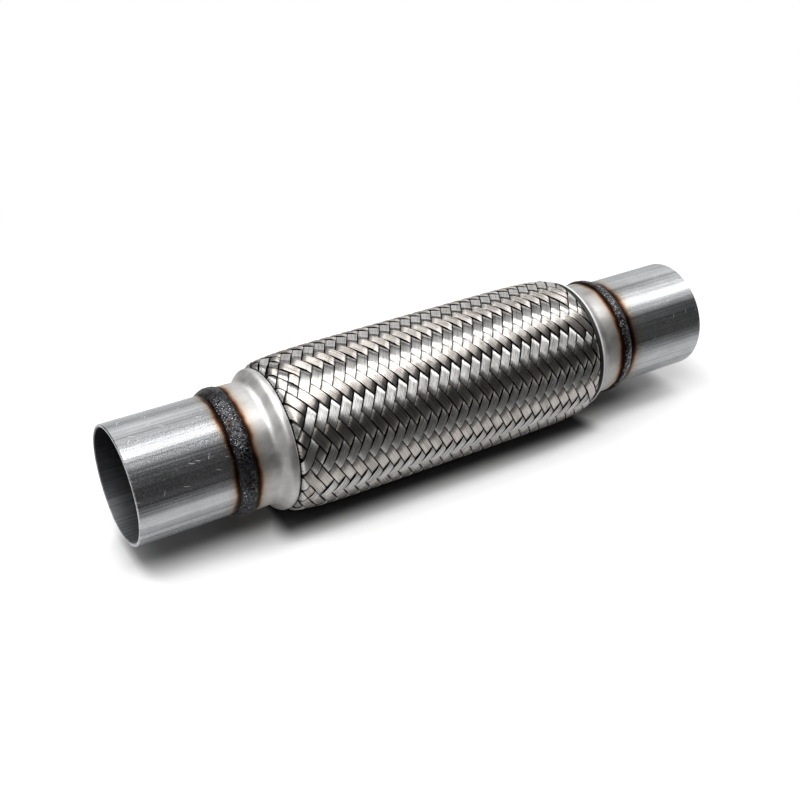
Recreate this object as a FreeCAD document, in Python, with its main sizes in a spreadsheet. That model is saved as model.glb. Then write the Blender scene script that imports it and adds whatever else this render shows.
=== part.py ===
import FreeCAD, Part
import math
import os

import Sketcher

# Exhaust flex pipe: a braided flexible section between two crimped collars, with a plain pipe
# stub welded into each collar. Millimetres. X runs along the pipe from the inlet (-X) to the
# outlet (+X), Z is up, and the origin is on the pipe's axis half way along.

# The driving sizes: alias, value, what it measures. Angles are in degrees.
DRIVING_SIZES = (
    ("overall_length", 305.0, "from one stub's rim to the other's"),
    ("flex_length", 203.0, "between the outer edges of the two collars"),
    ("pipe_diameter", 54.0, "outside of a stub pipe"),
    ("pipe_wall", 1.5, "stub pipe's wall"),
    ("pipe_insertion", 9.8, "stub pipe inside its collar's neck"),
    ("rim_chamfer", 0.35, "broken edges of a stub's cut ends"),
    ("slip_gap", 0.25, "radial gap between a stub and its collar's neck"),
    ("collar_wall", 1.2, "collar's sheet"),
    ("neck_length", 10.2, "collar's straight neck"),
    ("waist_length", 1.9, "from the neck down to the waist's narrowest ring"),
    ("waist_depth", 0.3, "how far the crimped waist lies below the neck"),
    ("flare_angle", 45.0, "slope from the waist up to the lip"),
    ("lip_rise", 4.55, "how far the lip stands over the waist"),
    ("lip_length", 2.85, "straight part of the lip over the braid"),
    ("waist_bend_radius", 1.4, "collar's bend at the waist, on the outside"),
    ("flare_bend_radius", 4.0, "collar's bend at the lip, on the outside"),
    ("collar_edge_round", 0.4, "rounded edges of the collar's sheet"),
    ("weld_toe_on_pipe", 6.5, "weld metal on the stub, from the collar's edge"),
    ("weld_toe_on_collar", 1.5, "weld metal on the neck, from the collar's edge"),
    ("weld_crown", 1.0, "weld's height over the neck"),
    ("weld_crown_width", 3.6, "flat of the weld's crown before it is rounded"),
    ("weld_round", 1.3, "rounding of the weld's crown"),
    ("weld_gap", 0.05, "gap between the weld metal and what it is laid on"),
    ("braid_bulge", 3.8, "how far the ribbons' crowns at the middle stand over the lip"),
    ("shoulder_stand", 0.4, "how far the crowns beside the lip stand over it"),
    ("tuck_gap", 0.6, "between the crowns and the inside of the lip's edge"),
    ("shoulder_power", 5.0, "how late along the braid it comes down to the shoulder"),
    ("tuck_power", 40.0, "how late along the braid it tucks in under the lip"),
    ("braid_carriers", 48.0, "ribbons of wire round the braid, half of them each way"),
    ("chevron_pitch", 5.6, "from one ribbon to the next along the pipe"),
    ("ribbon_rise", 0.9, "height of a ribbon's crown over the notch beside it"),
    ("ribbon_shoulder", 0.12, "share of a ribbon's width that slopes into the notch"),
    ("open_shoulder", 0.3, "the same share beside a gap in the weave"),
    ("first_gap_step", 3.0, "half pitches from the weave's end to its first ring of gaps"),
    ("gap_rings", 2.0, "rings of open gaps next to each collar"),
    ("braid_wall", 0.6, "weave under the notches"),
    ("braid_end_wall", 0.9, "weave where a collar crimps it"),
    ("layer_gap", 0.3, "gap between the braid and the pieces beside it"),
    ("bellows_wall", 0.4, "bellows' sheet, all plies"),
    ("bellows_pitch", 6.5, "from one convolution to the next"),
    ("root_clearance", 1.0, "between the liner and the bellows' roots"),
    ("ring_wall", 1.0, "support ring's wall"),
    ("ring_gap", 0.05, "radial gap between a support ring and the bellows' cuff"),
    ("ring_length", 10.0, "support ring"),
    ("end_gap", 0.3, "gap between pieces that butt end to end"),
    ("strip_pitch", 5.2, "one turn of the liner's strip"),
    ("strip_land", 3.9, "raised part of each turn"),
    ("strip_step", 0.35, "depth of the step between turns"),
    ("strip_thickness", 1.0, "liner's wall across the interlock"),
)

# Sizes that follow from the driving ones.
DERIVED_SIZES = (
    ("rim_place", "sizes.overall_length / 2"),
    ("collar_edge", "sizes.flex_length / 2"),
    ("pipe_radius", "sizes.pipe_diameter / 2"),
    ("pipe_bore", "pipe_radius - sizes.pipe_wall"),
    ("pipe_inner_end", "collar_edge - sizes.pipe_insertion"),
    ("neck_radius", "pipe_radius + sizes.slip_gap + sizes.collar_wall"),
    ("neck_end", "collar_edge - sizes.neck_length"),
    ("waist_place", "neck_end - sizes.waist_length"),
    ("waist_radius", "neck_radius - sizes.waist_depth"),
    ("lip_radius", "waist_radius + sizes.lip_rise"),
    ("flare_end", "waist_place - sizes.lip_rise / tan(sizes.flare_angle)"),
    ("lip_edge", "flare_end - sizes.lip_length"),
    ("braid_radius", "lip_radius + sizes.braid_bulge"),
    ("shoulder_drop", "sizes.braid_bulge - sizes.shoulder_stand"),
    ("lip_tuck", "sizes.shoulder_stand + sizes.collar_wall + sizes.tuck_gap"),
    ("sheet_shift", "sizes.collar_wall * tan(sizes.flare_angle / 2)"),
    ("braid_end", "pipe_inner_end - sizes.end_gap"),
    ("braid_end_radius", "waist_radius - sizes.collar_wall - sizes.layer_gap"),
    ("cuff_radius", "braid_end_radius - sizes.braid_end_wall - sizes.layer_gap"),
    ("cuff_bore", "cuff_radius - sizes.bellows_wall"),
    ("ring_radius", "cuff_bore - sizes.ring_gap"),
    ("root_radius", "ring_radius + sizes.root_clearance"),
    ("ring_inner_end", "braid_end - sizes.ring_length"),
    ("liner_end", "ring_inner_end - sizes.end_gap"),
)

CIRCLE_MATCH = 1e-4
MESH_MATCH = 1e-4

doc = FreeCAD.newDocument("exhaust_flex_pipe")


def fill_sheet(name, rows):
    """A sheet with one aliased cell a row."""
    sheet = doc.addObject("Spreadsheet::Sheet", name)
    for row, (alias, content) in enumerate(rows, 1):
        sheet.set("A%d" % row, alias)
        sheet.set("B%d" % row, content)
        sheet.setAlias("B%d" % row, alias)
        doc.recompute()
    return sheet


sizes = fill_sheet("sizes", [(alias, str(number)) for alias, number, _ in DRIVING_SIZES])
derived = fill_sheet("derived", [(alias, "=" + formula) for alias, formula in DERIVED_SIZES])


def value(expression):
    """The number that an expression of the two sheets has now."""
    return float(derived.evalExpression(expression))


# Turned pieces: a section in the body's XY plane, X along the pipe and Y its radius, turned
# about X. The outlet's pieces are drawn, and the inlet's are the same turned half way about Z.

END_PLACEMENTS = {
    "inlet": FreeCAD.Placement(FreeCAD.Vector(), FreeCAD.Rotation(FreeCAD.Vector(0, 0, 1), 180)),
    "outlet": FreeCAD.Placement(),
}


def turned_body(label, corners, placement):
    """A body turned about X from a section whose corners are pairs of expressions."""
    body = doc.addObject("PartDesign::Body", label)
    body.Label = label
    sketch = body.newObject("Sketcher::SketchObject", label + "_section")
    plane = next(item for item in body.Origin.OriginFeatures if item.Role == "XY_Plane")
    sketch.AttachmentSupport = (plane, [""])
    sketch.MapMode = "FlatFace"
    places = [FreeCAD.Vector(value(along), value(radius), 0) for along, radius in corners]
    for start, end in zip(places, places[1:] + places[:1]):
        sketch.addGeometry(Part.LineSegment(start, end), False)
    for side, (along, radius) in enumerate(corners):
        following = (side + 1) % len(corners)
        sketch.addConstraint(Sketcher.Constraint("Coincident", side, 2, following, 1))
        for kind, expression in (("DistanceX", along), ("DistanceY", radius)):
            rule = Sketcher.Constraint(kind, side, 1, value(expression))
            index = sketch.addConstraint(rule)
            sketch.setExpression("Constraints[%d]" % index, expression)
    turned = body.newObject("PartDesign::Revolution", label + "_turned")
    turned.Profile = sketch
    turned.ReferenceAxis = (sketch, ["H_Axis"])
    turned.Angle = 360
    body.Placement = placement
    doc.recompute()
    return body


def edge_names(shape, corners):
    """The names of the round edges that run through corners of the section."""
    names = []
    for along, radius in corners:
        for number, edge in enumerate(shape.Edges, 1):
            circle = edge.Curve
            if not isinstance(circle, Part.Circle):
                continue
            off = abs(circle.Radius - value(radius)) + abs(circle.Center.x - value(along))
            if off < CIRCLE_MATCH:
                names.append("Edge%d" % number)
    return names


def dress_edges(body, kind, size_property, size, corners):
    """A fillet or chamfer on the round edges at the given corners."""
    base = body.Tip
    dressed = body.newObject("PartDesign::" + kind, "%s_%s" % (body.Name, kind.lower()))
    dressed.Base = (base, edge_names(base.Shape, corners))
    dressed.setExpression(size_property, size)
    doc.recompute()
    return dressed


def stub_pipe(end):
    """The plain tube that is welded into a collar."""
    outside = "derived.pipe_radius"
    inside = "derived.pipe_bore"
    corners = [
        ("derived.pipe_inner_end", inside),
        ("derived.rim_place", inside),
        ("derived.rim_place", outside),
        ("derived.pipe_inner_end", outside),
    ]
    body = turned_body(end + "_stub_pipe", corners, END_PLACEMENTS[end])
    dress_edges(body, "Chamfer", "Size", "sizes.rim_chamfer", corners)
    return body


def collar(end):
    """The formed ferrule: a neck, a crimped waist and a flare to the lip over the braid."""
    neck = "derived.neck_radius"
    waist = "derived.waist_radius"
    lip = "derived.lip_radius"
    wall = " - sizes.collar_wall"
    shift = " - derived.sheet_shift"
    outside = [
        ("derived.collar_edge", neck),
        ("derived.neck_end", neck),
        ("derived.waist_place", waist),
        ("derived.flare_end", lip),
        ("derived.lip_edge", lip),
    ]
    inside = [
        ("derived.lip_edge", lip + wall),
        ("derived.flare_end" + shift, lip + wall),
        ("derived.waist_place" + shift, waist + wall),
        ("derived.neck_end", neck + wall),
        ("derived.collar_edge", neck + wall),
    ]
    body = turned_body(end + "_collar", outside + inside, END_PLACEMENTS[end])
    dress_edges(body, "Fillet", "Radius", "sizes.flare_bend_radius", outside[3:4])
    dress_edges(body, "Fillet", "Radius", "sizes.flare_bend_radius" + wall, inside[1:2])
    dress_edges(body, "Fillet", "Radius", "sizes.waist_bend_radius", outside[2:3])
    dress_edges(body, "Fillet", "Radius", "sizes.waist_bend_radius + sizes.collar_wall", inside[2:3])
    sheet_edges = [outside[0], outside[4], inside[0], inside[4]]
    dress_edges(body, "Fillet", "Radius", "sizes.collar_edge_round", sheet_edges)
    return body


def weld_bead(end):
    """The run of weld metal in the corner between the stub and the collar's edge."""
    on_pipe = "derived.pipe_radius + sizes.weld_gap"
    on_neck = "derived.neck_radius + sizes.weld_gap"
    crown = "derived.neck_radius + sizes.weld_crown"
    edge = "derived.collar_edge + sizes.weld_gap"
    corners = [
        ("derived.collar_edge + sizes.weld_toe_on_pipe", on_pipe),
        (edge, on_pipe),
        (edge, on_neck),
        ("derived.collar_edge - sizes.weld_toe_on_collar", on_neck),
        ("derived.collar_edge", crown),
        ("derived.collar_edge + sizes.weld_crown_width", crown),
    ]
    body = turned_body(end + "_weld_bead", corners, END_PLACEMENTS[end])
    dress_edges(body, "Fillet", "Radius", "sizes.weld_round", corners[4:])
    return body


def support_ring(end):
    """The plain ring inside the bellows' cuff, which the collar's waist is crimped against."""
    bore = "derived.ring_radius - sizes.ring_wall"
    corners = [
        ("derived.ring_inner_end", bore),
        ("derived.braid_end", bore),
        ("derived.braid_end", "derived.ring_radius"),
        ("derived.ring_inner_end", "derived.ring_radius"),
    ]
    return turned_body(end + "_support_ring", corners, END_PLACEMENTS[end])


def turned_outline(label, outline):
    """A solid turned about X from a closed wire in the XY plane."""
    drawn = doc.addObject("Part::Feature", label + "_outline")
    drawn.Shape = outline
    turned = doc.addObject("Part::Revolution", label)
    turned.Label = label
    turned.Source = drawn
    turned.Axis = FreeCAD.Vector(1, 0, 0)
    turned.Base = FreeCAD.Vector()
    turned.Angle = 360
    turned.Solid = True
    doc.recompute()
    return turned


# The braid's radius along the pipe: level over the middle, a soft shoulder towards each collar
# and a tuck in under its lip.

LIP_EDGE = value("derived.lip_edge")
LAYER_GAP = value("sizes.layer_gap")
BRAID_RADIUS = value("derived.braid_radius")
SHOULDER_DROP = value("derived.shoulder_drop")
SHOULDER_POWER = value("sizes.shoulder_power")
LIP_TUCK = value("derived.lip_tuck")
TUCK_POWER = value("sizes.tuck_power")
RIBBON_RISE = value("sizes.ribbon_rise")
BRAID_WALL = value("sizes.braid_wall")
COLUMNS = int(value("sizes.braid_carriers"))
COLUMN_ANGLE = 2 * math.pi / COLUMNS
BRAID_END = value("derived.braid_end")
BRAID_END_RADIUS = value("derived.braid_end_radius")
BRAID_END_WALL = value("sizes.braid_end_wall")


def crown_radius(along):
    """Over the ribbons' crowns, at a place along the pipe."""
    share = min(abs(along) / LIP_EDGE, 1)
    drop = SHOULDER_DROP * share ** SHOULDER_POWER
    tuck = LIP_TUCK * share ** TUCK_POWER
    return BRAID_RADIUS - drop - tuck


def notch_radius(along):
    """In the notches beside the ribbons."""
    return crown_radius(along) - RIBBON_RISE


def inside_radius(along):
    """Inside the weave."""
    return notch_radius(along) - BRAID_WALL


class WovenWall:
    """The braid's wall, as flat facets on a lattice of columns round it and steps along it.

    Two ribbons cross at each lattice cell, and each ribbon runs over two cells and then under
    two. The two cells that it covers lie in neighbouring columns, so the ribbons show as rows
    along the pipe that lean one way and then the other.
    """

    def __init__(self):
        self.half_pitch = value("sizes.chevron_pitch") / 2
        self.steps = 2 * int(LIP_EDGE / self.half_pitch)
        self.first_gap = int(value("sizes.first_gap_step"))
        self.end_gap = self.first_gap + 2 * int(value("sizes.gap_rings"))
        self.side_share = value("sizes.ribbon_shoulder")
        self.open_share = value("sizes.open_shoulder")
        self.places = []
        self.facets = []
        self.numbers = {}

    def along(self, step):
        """Where a step of the lattice is along the pipe."""
        return (step - self.steps / 2) * self.half_pitch

    def place(self, column, along, radius):
        """The number of the corner at a column, a place along the pipe and a radius."""
        key = tuple(round(part / MESH_MATCH) for part in (column % COLUMNS, along, radius))
        if key not in self.numbers:
            angle = (column + 0.5) * COLUMN_ANGLE
            self.numbers[key] = len(self.places)
            self.places.append(
                FreeCAD.Vector(along, -radius * math.sin(angle), radius * math.cos(angle))
            )
        return self.numbers[key]

    def fan(self, corners):
        """Facets that fill a loop of corners from its first one."""
        for second, third in zip(corners[1:], corners[2:]):
            self.facets.append((corners[0], second, third))

    def notch(self, column, step):
        """A corner of the lattice on the outside, in a notch."""
        return self.place(column, self.along(step), notch_radius(self.along(step)))

    def inner(self, column, step):
        """The same corner on the inside."""
        return self.place(column, self.along(step), inside_radius(self.along(step)))

    def is_open(self, step):
        """Whether the ribbons centred on a step have a gap beside them."""
        return self.first_gap <= min(step, self.steps - step) < self.end_gap

    def ribbon(self, column, step, lean):
        """One ribbon's crossing: its crown, its sloping sides and, near a collar, its gap.

        It covers the cell at this column and step and the next column's cell a step further
        in the direction of lean.
        """
        loop = [
            (column - 1, step),
            (column, step + lean),
            (column + 1, step + 2 * lean),
            (column + 2, step + lean),
            (column + 1, step),
            (column, step - lean),
        ]
        gap = self.is_open(step)
        near_share = self.open_share if gap else self.side_share
        near = (column + near_share, step + lean * (1 - near_share))
        far = (column + 1 - self.side_share, step + lean * self.side_share)
        outer = [self.notch(*corner) for corner in loop]
        crown_near, crown_far = (
            self.place(spot[0], self.along(spot[1]), crown_radius(self.along(spot[1])))
            for spot in (near, far)
        )
        inner = [self.inner(*corner) for corner in loop]
        turned = lean < 0
        self.loop([outer[5], outer[0], crown_near, crown_far], turned)
        self.loop([crown_near, outer[2], outer[3], crown_far], turned)
        self.loop([outer[1], outer[2], crown_near], turned)
        self.loop([outer[3], outer[4], crown_far], turned)
        self.loop([outer[4], outer[5], crown_far], turned)
        if not gap:
            self.loop([outer[0], outer[1], crown_near], turned)
            self.loop([inner[5], inner[4], inner[1], inner[0]], turned)
            self.loop([inner[1], inner[4], inner[3], inner[2]], turned)
            return
        inner_near = self.place(near[0], self.along(near[1]), inside_radius(self.along(near[1])))
        self.loop([inner[5], inner[4], inner_near, inner[0]], turned)
        self.loop([inner_near, inner[4], inner[3], inner[2], inner[1]], turned)
        outer_rim = [outer[0], outer[1], crown_near]
        inner_rim = [inner[0], inner[1], inner_near]
        for side in range(3):
            after = (side + 1) % 3
            sides = [outer_rim[side], outer_rim[after], inner_rim[after], inner_rim[side]]
            self.loop(sides, turned)

    def loop(self, corners, turned):
        """Facets for a loop of corners, turned over where the ribbon leans the other way."""
        self.fan(corners[::-1] if turned else corners)

    def plain_cell(self, column, step):
        """A cell at the end of the lattice that no whole ribbon covers."""
        outer = [(column - 1, step), (column, step + 1), (column + 1, step), (column, step - 1)]
        if step == 0:
            outer[3] = (column, 0)
        if step == self.steps:
            outer[1] = (column, step)
        self.fan([self.notch(*corner) for corner in (outer[3], outer[0], outer[1], outer[2])])
        self.fan([self.inner(*corner) for corner in (outer[3], outer[2], outer[1], outer[0])])

    def weave(self):
        """All the cells of the lattice."""
        for column in range(0, COLUMNS, 2):
            lean = 1 if column % 4 == 0 else -1
            covered = set()
            for step in range(1, self.steps, 2):
                if 0 < step + lean < self.steps:
                    self.ribbon(column, step, lean)
                    covered.add((column, step))
                    covered.add((column + 1, step + lean))
            cells = [(column, step) for step in range(1, self.steps, 2)]
            cells += [(column + 1, step) for step in range(0, self.steps + 1, 2)]
            for cell in cells:
                if cell not in covered:
                    self.plain_cell(*cell)

    def crimped_end(self, side):
        """The plain stretch of weave in under a collar, down to its waist, and its cut end."""
        slope = math.tan(math.radians(value("sizes.flare_angle")))
        waist = value("derived.waist_place - derived.sheet_shift")
        waist -= LAYER_GAP * math.tan(math.radians(value("sizes.flare_angle / 2")))
        start = self.along(self.steps)
        low = notch_radius(start)
        bend = waist - (low - BRAID_END_RADIUS) / slope
        rings = [
            (start, low, inside_radius(start)),
            (bend, low, low - BRAID_END_WALL),
            (waist, BRAID_END_RADIUS, BRAID_END_RADIUS - BRAID_END_WALL),
            (BRAID_END, BRAID_END_RADIUS, BRAID_END_RADIUS - BRAID_END_WALL),
        ]
        for column in range(COLUMNS):
            for (along, outside, inside), (after, outside_after, inside_after) in zip(rings, rings[1:]):
                for radius, radius_after, turned in (
                    (outside, outside_after, side < 0),
                    (inside, inside_after, side > 0),
                ):
                    self.loop(
                        [
                            self.place(column, side * along, radius),
                            self.place(column, side * after, radius_after),
                            self.place(column + 1, side * after, radius_after),
                            self.place(column + 1, side * along, radius),
                        ],
                        not turned,
                    )
            cut = [
                self.place(column, side * BRAID_END, rings[-1][1]),
                self.place(column, side * BRAID_END, rings[-1][2]),
                self.place(column + 1, side * BRAID_END, rings[-1][2]),
                self.place(column + 1, side * BRAID_END, rings[-1][1]),
            ]
            self.loop(cut, side > 0)

    def solid(self):
        """The closed wall."""
        self.weave()
        self.crimped_end(-1)
        self.crimped_end(1)
        shape = Part.Shape()
        shape.makeShapeFromMesh((self.places, self.facets), MESH_MATCH)
        wall = Part.makeSolid(Part.Shell(shape.Faces))
        if wall.Volume < 0:
            wall.reverse()
        return wall


def outer_braid():
    """The woven sleeve from collar to collar."""
    braid = doc.addObject("Part::Feature", "outer_braid")
    braid.Label = "outer_braid"
    braid.Shape = WovenWall().solid()
    return braid


class Outline:
    """A closed wire in the XY plane, drawn side by side from its first corner."""

    def __init__(self, along, radius):
        self.first = FreeCAD.Vector(along, radius, 0)
        self.last = self.first
        self.sides = []

    def line(self, along, radius):
        """A straight side to a place along the pipe and a radius."""
        corner = FreeCAD.Vector(along, radius, 0)
        self.sides.append(Part.LineSegment(self.last, corner).toShape())
        self.last = corner

    def half_turn(self, along, rise):
        """A half circle to a place along the pipe at the same radius, bulging by rise."""
        corner = FreeCAD.Vector(along, self.last.y, 0)
        crown = (self.last + corner) / 2 + FreeCAD.Vector(0, rise, 0)
        self.sides.append(Part.Arc(self.last, crown, corner).toShape())
        self.last = corner

    def wire(self):
        """The wire, closed back to its first corner."""
        self.line(self.first.x, self.first.y)
        return Part.Wire(self.sides)


def bellows():
    """The corrugated tube: equal half circles at crests and roots, joined by straight flanks.

    Its crests bear on the braid, and its ends are plain cuffs under the collars' waists.
    """
    wall = value("sizes.bellows_wall")
    pitch = value("sizes.bellows_pitch")
    wide = pitch / 4 + wall / 2
    tight = pitch / 4 - wall / 2
    count = int((2 * LIP_EDGE - 2 * wide) / pitch) + 1
    crests = [(number - (count - 1) / 2) * pitch for number in range(count)]
    root_centre = value("derived.root_radius") + wide
    facet_share = math.cos(COLUMN_ANGLE / 2)

    def crest_centre(along):
        clear = inside_radius(abs(along) + wide) * facet_share - LAYER_GAP
        return clear - wide

    def surface(outline, order, crest_arc, root_arc, cuff, way):
        outline.line(order[0] - way * crest_arc, cuff)
        for along in order:
            outline.line(along - way * crest_arc, crest_centre(along))
            outline.half_turn(along + way * crest_arc, crest_arc)
            if along != order[-1]:
                outline.line(along + way * crest_arc, root_centre)
                outline.half_turn(along + way * (crest_arc + 2 * root_arc), -root_arc)
        outline.line(order[-1] + way * crest_arc, cuff)
        outline.line(way * BRAID_END, cuff)

    outline = Outline(-BRAID_END, value("derived.cuff_radius"))
    surface(outline, crests, wide, tight, value("derived.cuff_radius"), 1)
    outline.line(BRAID_END, value("derived.cuff_bore"))
    surface(outline, crests[::-1], tight, wide, value("derived.cuff_bore"), -1)
    return turned_outline("bellows", outline.wire())


def interlock_liner():
    """The strip-wound tube that carries the gas: each turn stands proud of the step beside it."""
    pitch = value("sizes.strip_pitch")
    land = value("sizes.strip_land")
    step = value("sizes.strip_step")
    outside = value("derived.ring_radius")
    bore = outside - value("sizes.strip_thickness")
    end = value("derived.liner_end")
    turns = int(2 * end / pitch)
    first = -turns * pitch / 2
    outline = Outline(-end, outside - step)
    for turn in range(turns):
        start = first + turn * pitch + (pitch - land) / 2
        outline.line(start, outside - step)
        outline.line(start, outside)
        outline.line(start + land, outside)
        outline.line(start + land, outside - step)
    outline.line(end, outside - step)
    outline.line(end, bore)
    for turn in range(turns - 1, -1, -1):
        start = first + turn * pitch + pitch / 2
        outline.line(start + (pitch - land) / 2, bore)
        outline.line(start + (pitch - land) / 2, bore + step)
        outline.line(start - (pitch - land) / 2, bore + step)
        outline.line(start - (pitch - land) / 2, bore)
    outline.line(-end, bore)
    return turned_outline("interlock_liner", outline.wire())


pieces = [outer_braid(), bellows(), interlock_liner()]
for name in END_PLACEMENTS:
    pieces += [stub_pipe(name), collar(name), weld_bead(name), support_ring(name)]

doc.recompute()
for item in doc.Objects:
    if "Invalid" in item.State or "Error" in item.State:
        raise RuntimeError("%s failed: %s" % (item.Label, item.State))
for piece in pieces:
    if piece.Shape.isNull() or not piece.Shape.isValid():
        raise RuntimeError("%s has no valid shape" % piece.Label)

os.makedirs("parts", exist_ok=True)
for piece in pieces:
    piece.Shape.exportStep(os.path.join("parts", piece.Label + ".step"))
    print("%s: %.0f mm3, %d faces" % (piece.Label, piece.Shape.Volume, len(piece.Shape.Faces)))
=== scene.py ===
import logging
import math
from dataclasses import dataclass, field
from enum import Enum

import bpy
import numpy as np
from mathutils import Matrix, Vector, noise


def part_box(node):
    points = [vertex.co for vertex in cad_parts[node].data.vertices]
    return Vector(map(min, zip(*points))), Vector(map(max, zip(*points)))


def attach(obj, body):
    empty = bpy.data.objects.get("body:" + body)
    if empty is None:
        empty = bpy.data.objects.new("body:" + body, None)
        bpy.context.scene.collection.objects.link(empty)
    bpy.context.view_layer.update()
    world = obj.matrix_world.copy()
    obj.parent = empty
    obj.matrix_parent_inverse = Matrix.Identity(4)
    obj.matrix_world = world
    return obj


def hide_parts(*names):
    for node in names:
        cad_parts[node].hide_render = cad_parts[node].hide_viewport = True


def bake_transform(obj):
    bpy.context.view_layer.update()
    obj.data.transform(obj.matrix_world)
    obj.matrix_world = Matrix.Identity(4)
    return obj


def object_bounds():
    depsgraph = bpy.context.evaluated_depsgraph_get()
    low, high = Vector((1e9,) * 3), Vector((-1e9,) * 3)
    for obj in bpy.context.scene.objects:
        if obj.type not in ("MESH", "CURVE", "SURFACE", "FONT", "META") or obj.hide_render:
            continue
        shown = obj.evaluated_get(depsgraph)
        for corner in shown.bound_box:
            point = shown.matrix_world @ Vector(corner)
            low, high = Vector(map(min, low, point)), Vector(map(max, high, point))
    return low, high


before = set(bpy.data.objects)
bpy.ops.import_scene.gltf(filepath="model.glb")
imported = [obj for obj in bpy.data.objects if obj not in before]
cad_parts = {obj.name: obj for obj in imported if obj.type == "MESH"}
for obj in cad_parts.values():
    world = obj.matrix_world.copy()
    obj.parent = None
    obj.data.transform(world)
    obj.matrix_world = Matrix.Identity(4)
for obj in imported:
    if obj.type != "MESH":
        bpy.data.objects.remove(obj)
cad_lowest, cad_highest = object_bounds()

# Looks of an exhaust flex pipe: two stub pipes welded into crimped collars, and between them a
# braid of flat wire ribbons over a bellows and a strip-wound liner. Metres, X along the pipe.

Material = bpy.types.Material
Piece = bpy.types.Object
Socket = bpy.types.NodeSocket
Span = tuple[float, float]
Place = tuple[float, float, float]
Colour = tuple[float, float, float, float]

LOG = logging.getLogger("flex_pipe")
MM = 0.001
FULL_TURN = 2 * math.pi
BLACK = (0.0, 0.0, 0.0, 1.0)
WHITE = (1.0, 1.0, 1.0, 1.0)

# The ribbons' UV map, and the attribute that says how deep a place on them lies, counting the tuck under a
# lip; it sets the shade painted on them.
LAY_MAP = "lay"
DIP_NAME = "dip"


class End(Enum):
    """The two ends of the pipe, with the way each points along X."""

    INLET = -1
    OUTLET = 1

    def node(self, part: str) -> str:
        """The CAD node of a part at this end."""
        return f"{self.name.lower()}_{part}"

    def body(self) -> str:
        """The body that this end's pieces ride on."""
        return f"{self.name.lower()}_end"


class Lean(Enum):
    """The two ways that the braid's ribbons wind round the pipe."""

    RISING = 1
    FALLING = -1


@dataclass(frozen=True)
class Grain:
    """Smooth noise: its lumps a metre, its finer layers and their strength, and a scale for places."""

    scale: float
    detail: float = 2.0
    rough: float = 0.5
    stretch: Place = (1.0, 1.0, 1.0)


# Steel beside a weld, by the share of the tint's reach: burnt, rust brown, then fading straw.
HEAT_TINTS = {
    0.00: (0.025, 0.014, 0.011),
    0.14: (0.04, 0.02, 0.014),
    0.24: (0.20, 0.075, 0.035),
    0.33: (0.55, 0.36, 0.23),
    0.46: (0.85, 0.76, 0.66),
    0.70: (0.95, 0.92, 0.87),
    1.00: (1.0, 1.0, 1.0),
}
TINT_WANDER = Grain(110.0, 3.0)
TINT_SWAY = (-0.5 * MM, 0.5 * MM)


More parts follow.
